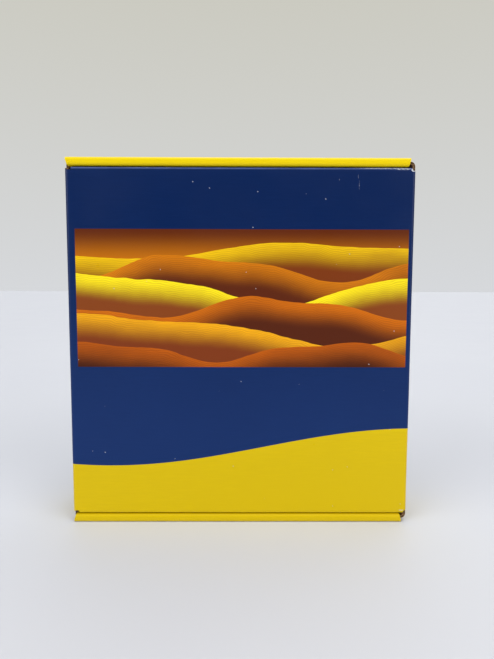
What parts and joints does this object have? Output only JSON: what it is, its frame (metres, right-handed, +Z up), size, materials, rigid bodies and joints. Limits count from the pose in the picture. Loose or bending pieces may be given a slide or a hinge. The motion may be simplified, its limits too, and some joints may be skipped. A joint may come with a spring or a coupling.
{
  "type": "gas chromatography column carton",
  "caption": "Printed mailer carton of thin corrugated board with rolled end walls and a hinged tuck lid, holding a capillary column on a wire cage in a folded board insert",
  "frame": {"origin": "middle of the underside, on which the carton stands", "axes": "+Z up along the printed front's height, +X to the right of the printed front, +Y from the printed front to the back panel"},
  "size_m": [0.249, 0.057, 0.267],
  "materials": {
    "tray_board": "yellow and blue print under a thin gloss coating, brown board inside",
    "lid_board": "dark blue, amber and yellow print under a thin gloss coating, brown board inside",
    "insert_board": "plain brown board, matt",
    "cage_wire": "drawn stainless wire with small welds",
    "capillary": "fused silica with an amber coating, glossy",
    "seal_rubber": "moulded red-brown rubber, matt"
  },
  "bodies": {
    "tray": {"tray": "tray_board", "insert": "insert_board", "cage": "cage_wire", "coil": "capillary", "end_seal_1": "seal_rubber", "end_seal_2": "seal_rubber"},
    "lid": {"lid": "lid_board"}
  },
  "joints": [
    {"name": "lid_hinge", "type": "hinge", "parent": "tray", "child": "lid", "pos_m": [0.1245, -0.0285, 0.1335], "axis": [0, 0, 1], "range_deg": [0, 180]}
  ]
}
